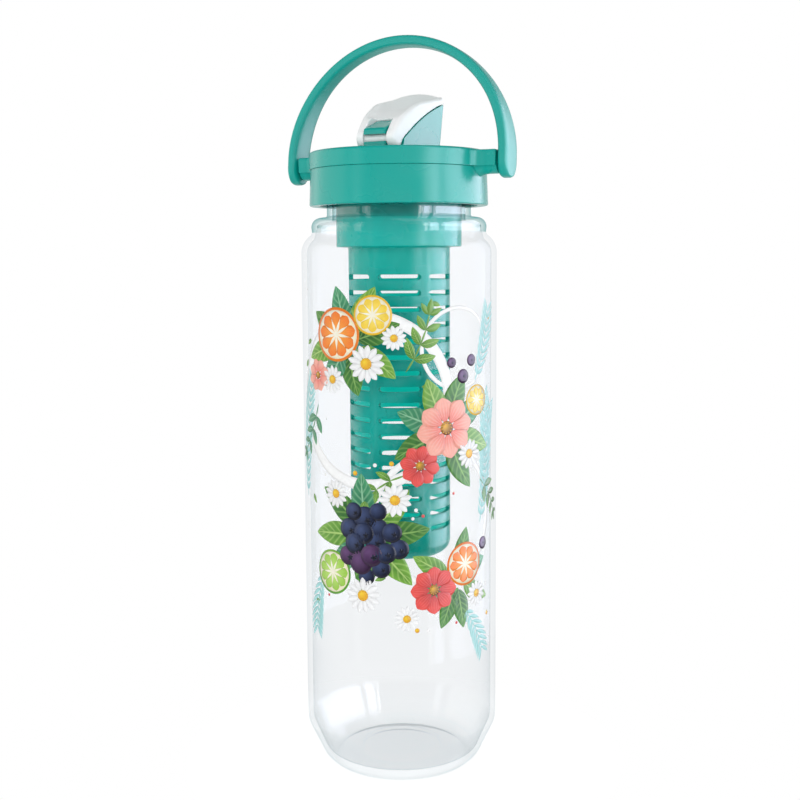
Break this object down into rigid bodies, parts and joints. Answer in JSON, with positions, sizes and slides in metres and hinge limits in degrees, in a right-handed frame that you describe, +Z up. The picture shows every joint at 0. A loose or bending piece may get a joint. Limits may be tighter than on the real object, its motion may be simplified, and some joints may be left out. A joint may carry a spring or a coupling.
{
  "type": "tea infuser bottle",
  "caption": "Clear cylindrical drinking bottle with a screw lid, flip-up spout cap, swinging hoop handle and a slotted tea infuser hanging inside.",
  "frame": {"origin": "centre of the base, on the plane the bottle stands on", "axes": "+Z up along the bottle, +X along the handle's axis, +Y towards the spout's tall end; the cap is hinged at -Y"},
  "size_m": [0.0898, 0.073, 0.2726],
  "materials": {
    "teal_plastic": "satin moulded polypropylene",
    "clear_plastic": "clear polished copolyester",
    "white_plastic": "satin moulded polypropylene",
    "silicone": "matt translucent silicone"
  },
  "bodies": {
    "bottle": {"bottle_body": "clear_plastic"},
    "seal_ring": {"lid_seal": "silicone"},
    "lid": {"lid_top": "teal_plastic", "screw_collar": "teal_plastic", "infuser_seal": "silicone", "infuser_collar": "teal_plastic"},
    "handle": {"handle": "teal_plastic"},
    "flip_cap": {"flip_cap": "white_plastic", "mouth_seal": "silicone"},
    "basket": {"infuser_basket": "teal_plastic"}
  },
  "joints": [
    {"name": "lid_lift", "type": "slide", "parent": "bottle", "child": "seal_ring", "axis": [0, 0, 1], "range_m": [0, 0.15]},
    {"name": "lid_turn", "type": "hinge", "parent": "seal_ring", "child": "lid", "pos_m": [0, 0, 0.2236], "axis": [0, 0, 1], "continuous": true},
    {"name": "handle_swing", "type": "hinge", "parent": "lid", "child": "handle", "pos_m": [0, 0, 0.2256], "axis": [1, 0, 0], "range_deg": [-108, 115]},
    {"name": "flip_cap_hinge", "type": "hinge", "parent": "lid", "child": "flip_cap", "pos_m": [0, -0.0162, 0.234], "axis": [1, 0, 0], "range_deg": [0, 120]},
    {"name": "infuser_release", "type": "slide", "parent": "lid", "child": "basket", "axis": [0, 0, -1], "range_m": [0, 0.06]}
  ]
}
